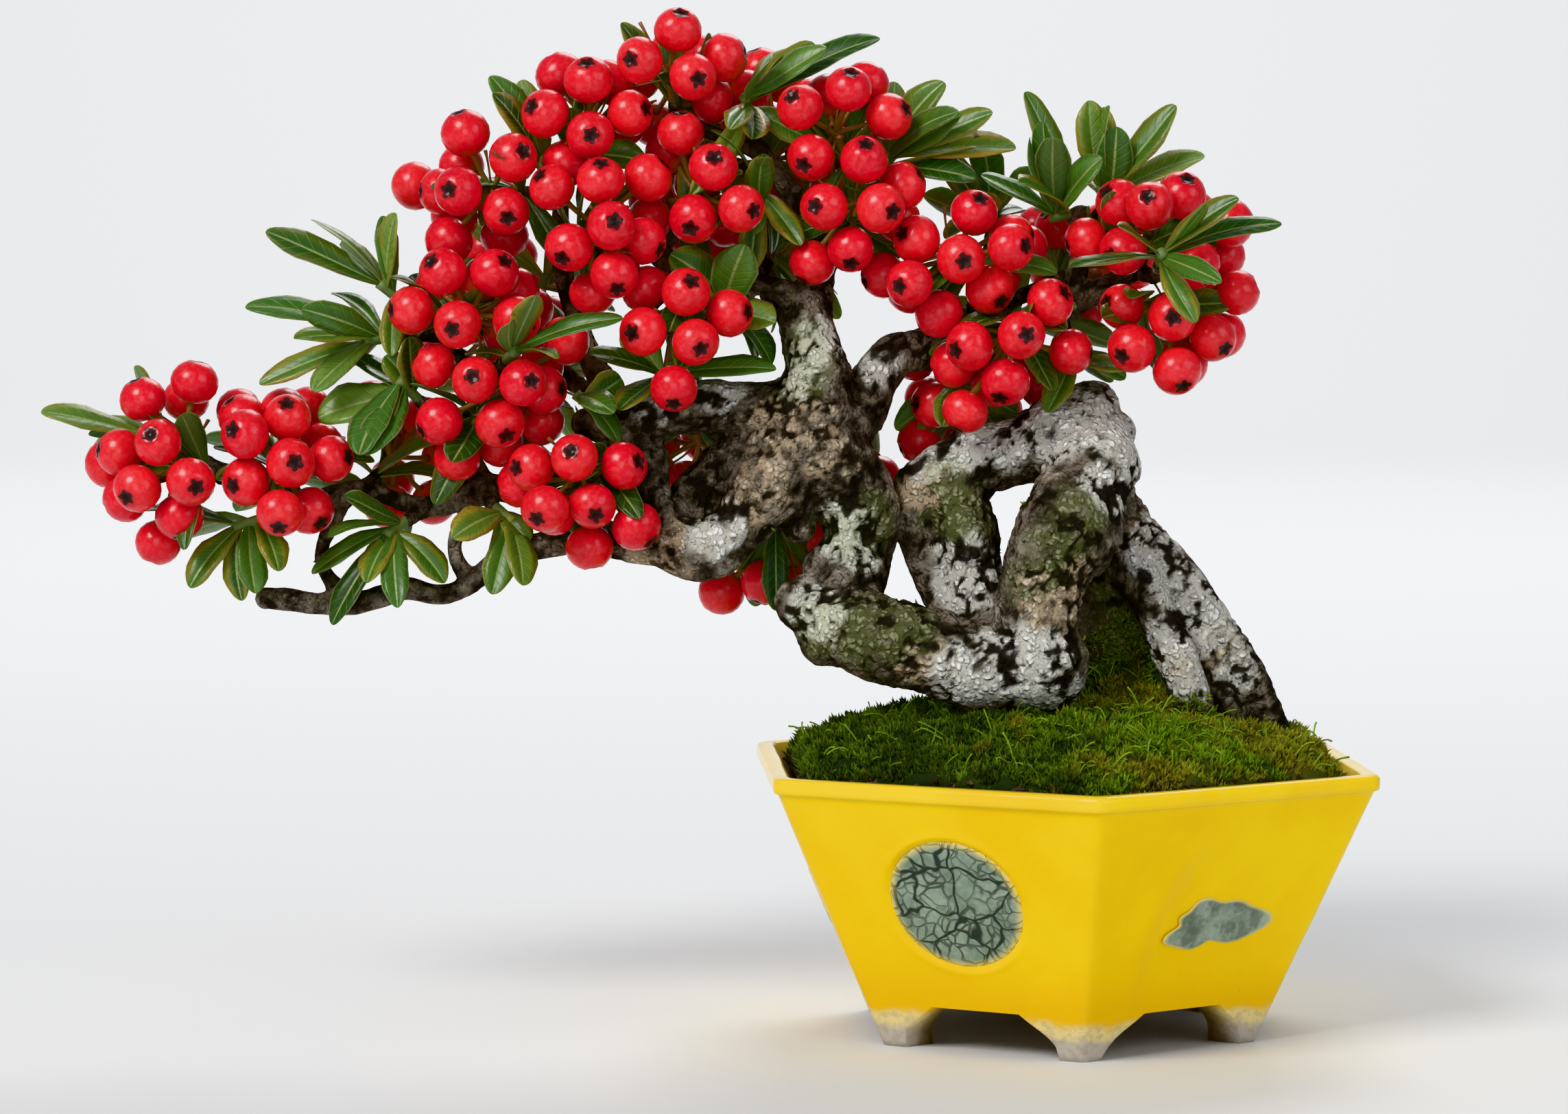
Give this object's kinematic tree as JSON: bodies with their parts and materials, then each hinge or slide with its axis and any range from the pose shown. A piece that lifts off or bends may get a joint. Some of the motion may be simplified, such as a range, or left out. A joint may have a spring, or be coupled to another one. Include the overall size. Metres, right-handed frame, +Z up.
{
  "type": "firethorn bonsai",
  "caption": "Old half-cascade firethorn bonsai with a folded trunk, small evergreen leaves and red berries, in a flared six-sided glazed pot.",
  "frame": {"origin": "centre of the whole plant and pot's box in plan, on the surface that the pot's feet stand on", "axes": "+Z up, +X along the long spread of the branches towards the pot, -Y towards the side that the tree is shown from"},
  "size_m": [0.1936, 0.099, 0.1491],
  "materials": {
    "pot": "gloss",
    "soil": "matt",
    "moss": "matt",
    "bark": "matt",
    "berry": "satin",
    "leaf": "satin"
  },
  "bodies": {
    "root": {"pot": "pot", "soil": "soil", "moss": "moss", "trunk": "bark", "berries_far_left_edge": "berry", "berries_far_left": "berry", "berries_left_high": "berry", "berries_left_low": "berry", "berries_left_under": "berry", "berries_top_left_edge": "berry", "berries_top_left": "berry", "berries_top_left_crest": "berry", "berries_crest": "berry", "berries_crest_low": "berry", "berries_pair": "berry", "berries_crest_right": "berry", "berries_crest_right_low": "berry", "berries_right_high": "berry", "berries_right_low": "berry", "berries_far_right_high": "berry", "berries_far_right": "berry", "berries_under_right": "berry", "berries_hollow": "berry", "berries_behind_trunk": "berry", "berries_behind_low": "berry", "berries_left_back": "berry", "berries_back_left": "berry", "berries_back_mid": "berry", "berries_back_right": "berry", "berries_back_crest": "berry", "leaves_far_left_tip": "leaf", "leaves_far_left_low": "leaf", "leaves_far_left_back": "leaf", "leaves_left_top": "leaf", "leaves_left_mid": "leaf", "leaves_left_broad": "leaf", "leaves_drop_left": "leaf", "leaves_drop_mid": "leaf", "leaves_slash": "leaf", "leaves_crest_left": "leaf", "leaves_heart": "leaf", "leaves_heart_high": "leaf", "leaves_mid": "leaf", "leaves_dark": "leaf", "leaves_crest": "leaf", "leaves_crest_right": "leaf", "leaves_right_a": "leaf", "leaves_right_b": "leaf", "leaves_far_top": "leaf", "leaves_far_right": "leaf", "leaves_low_right": "leaf", "leaves_under_right": "leaf", "leaves_back_left": "leaf", "leaves_back_left_high": "leaf", "leaves_back_mid": "leaf", "leaves_back_right": "leaf", "leaves_back_crest": "leaf"}
  },
  "joints": []
}
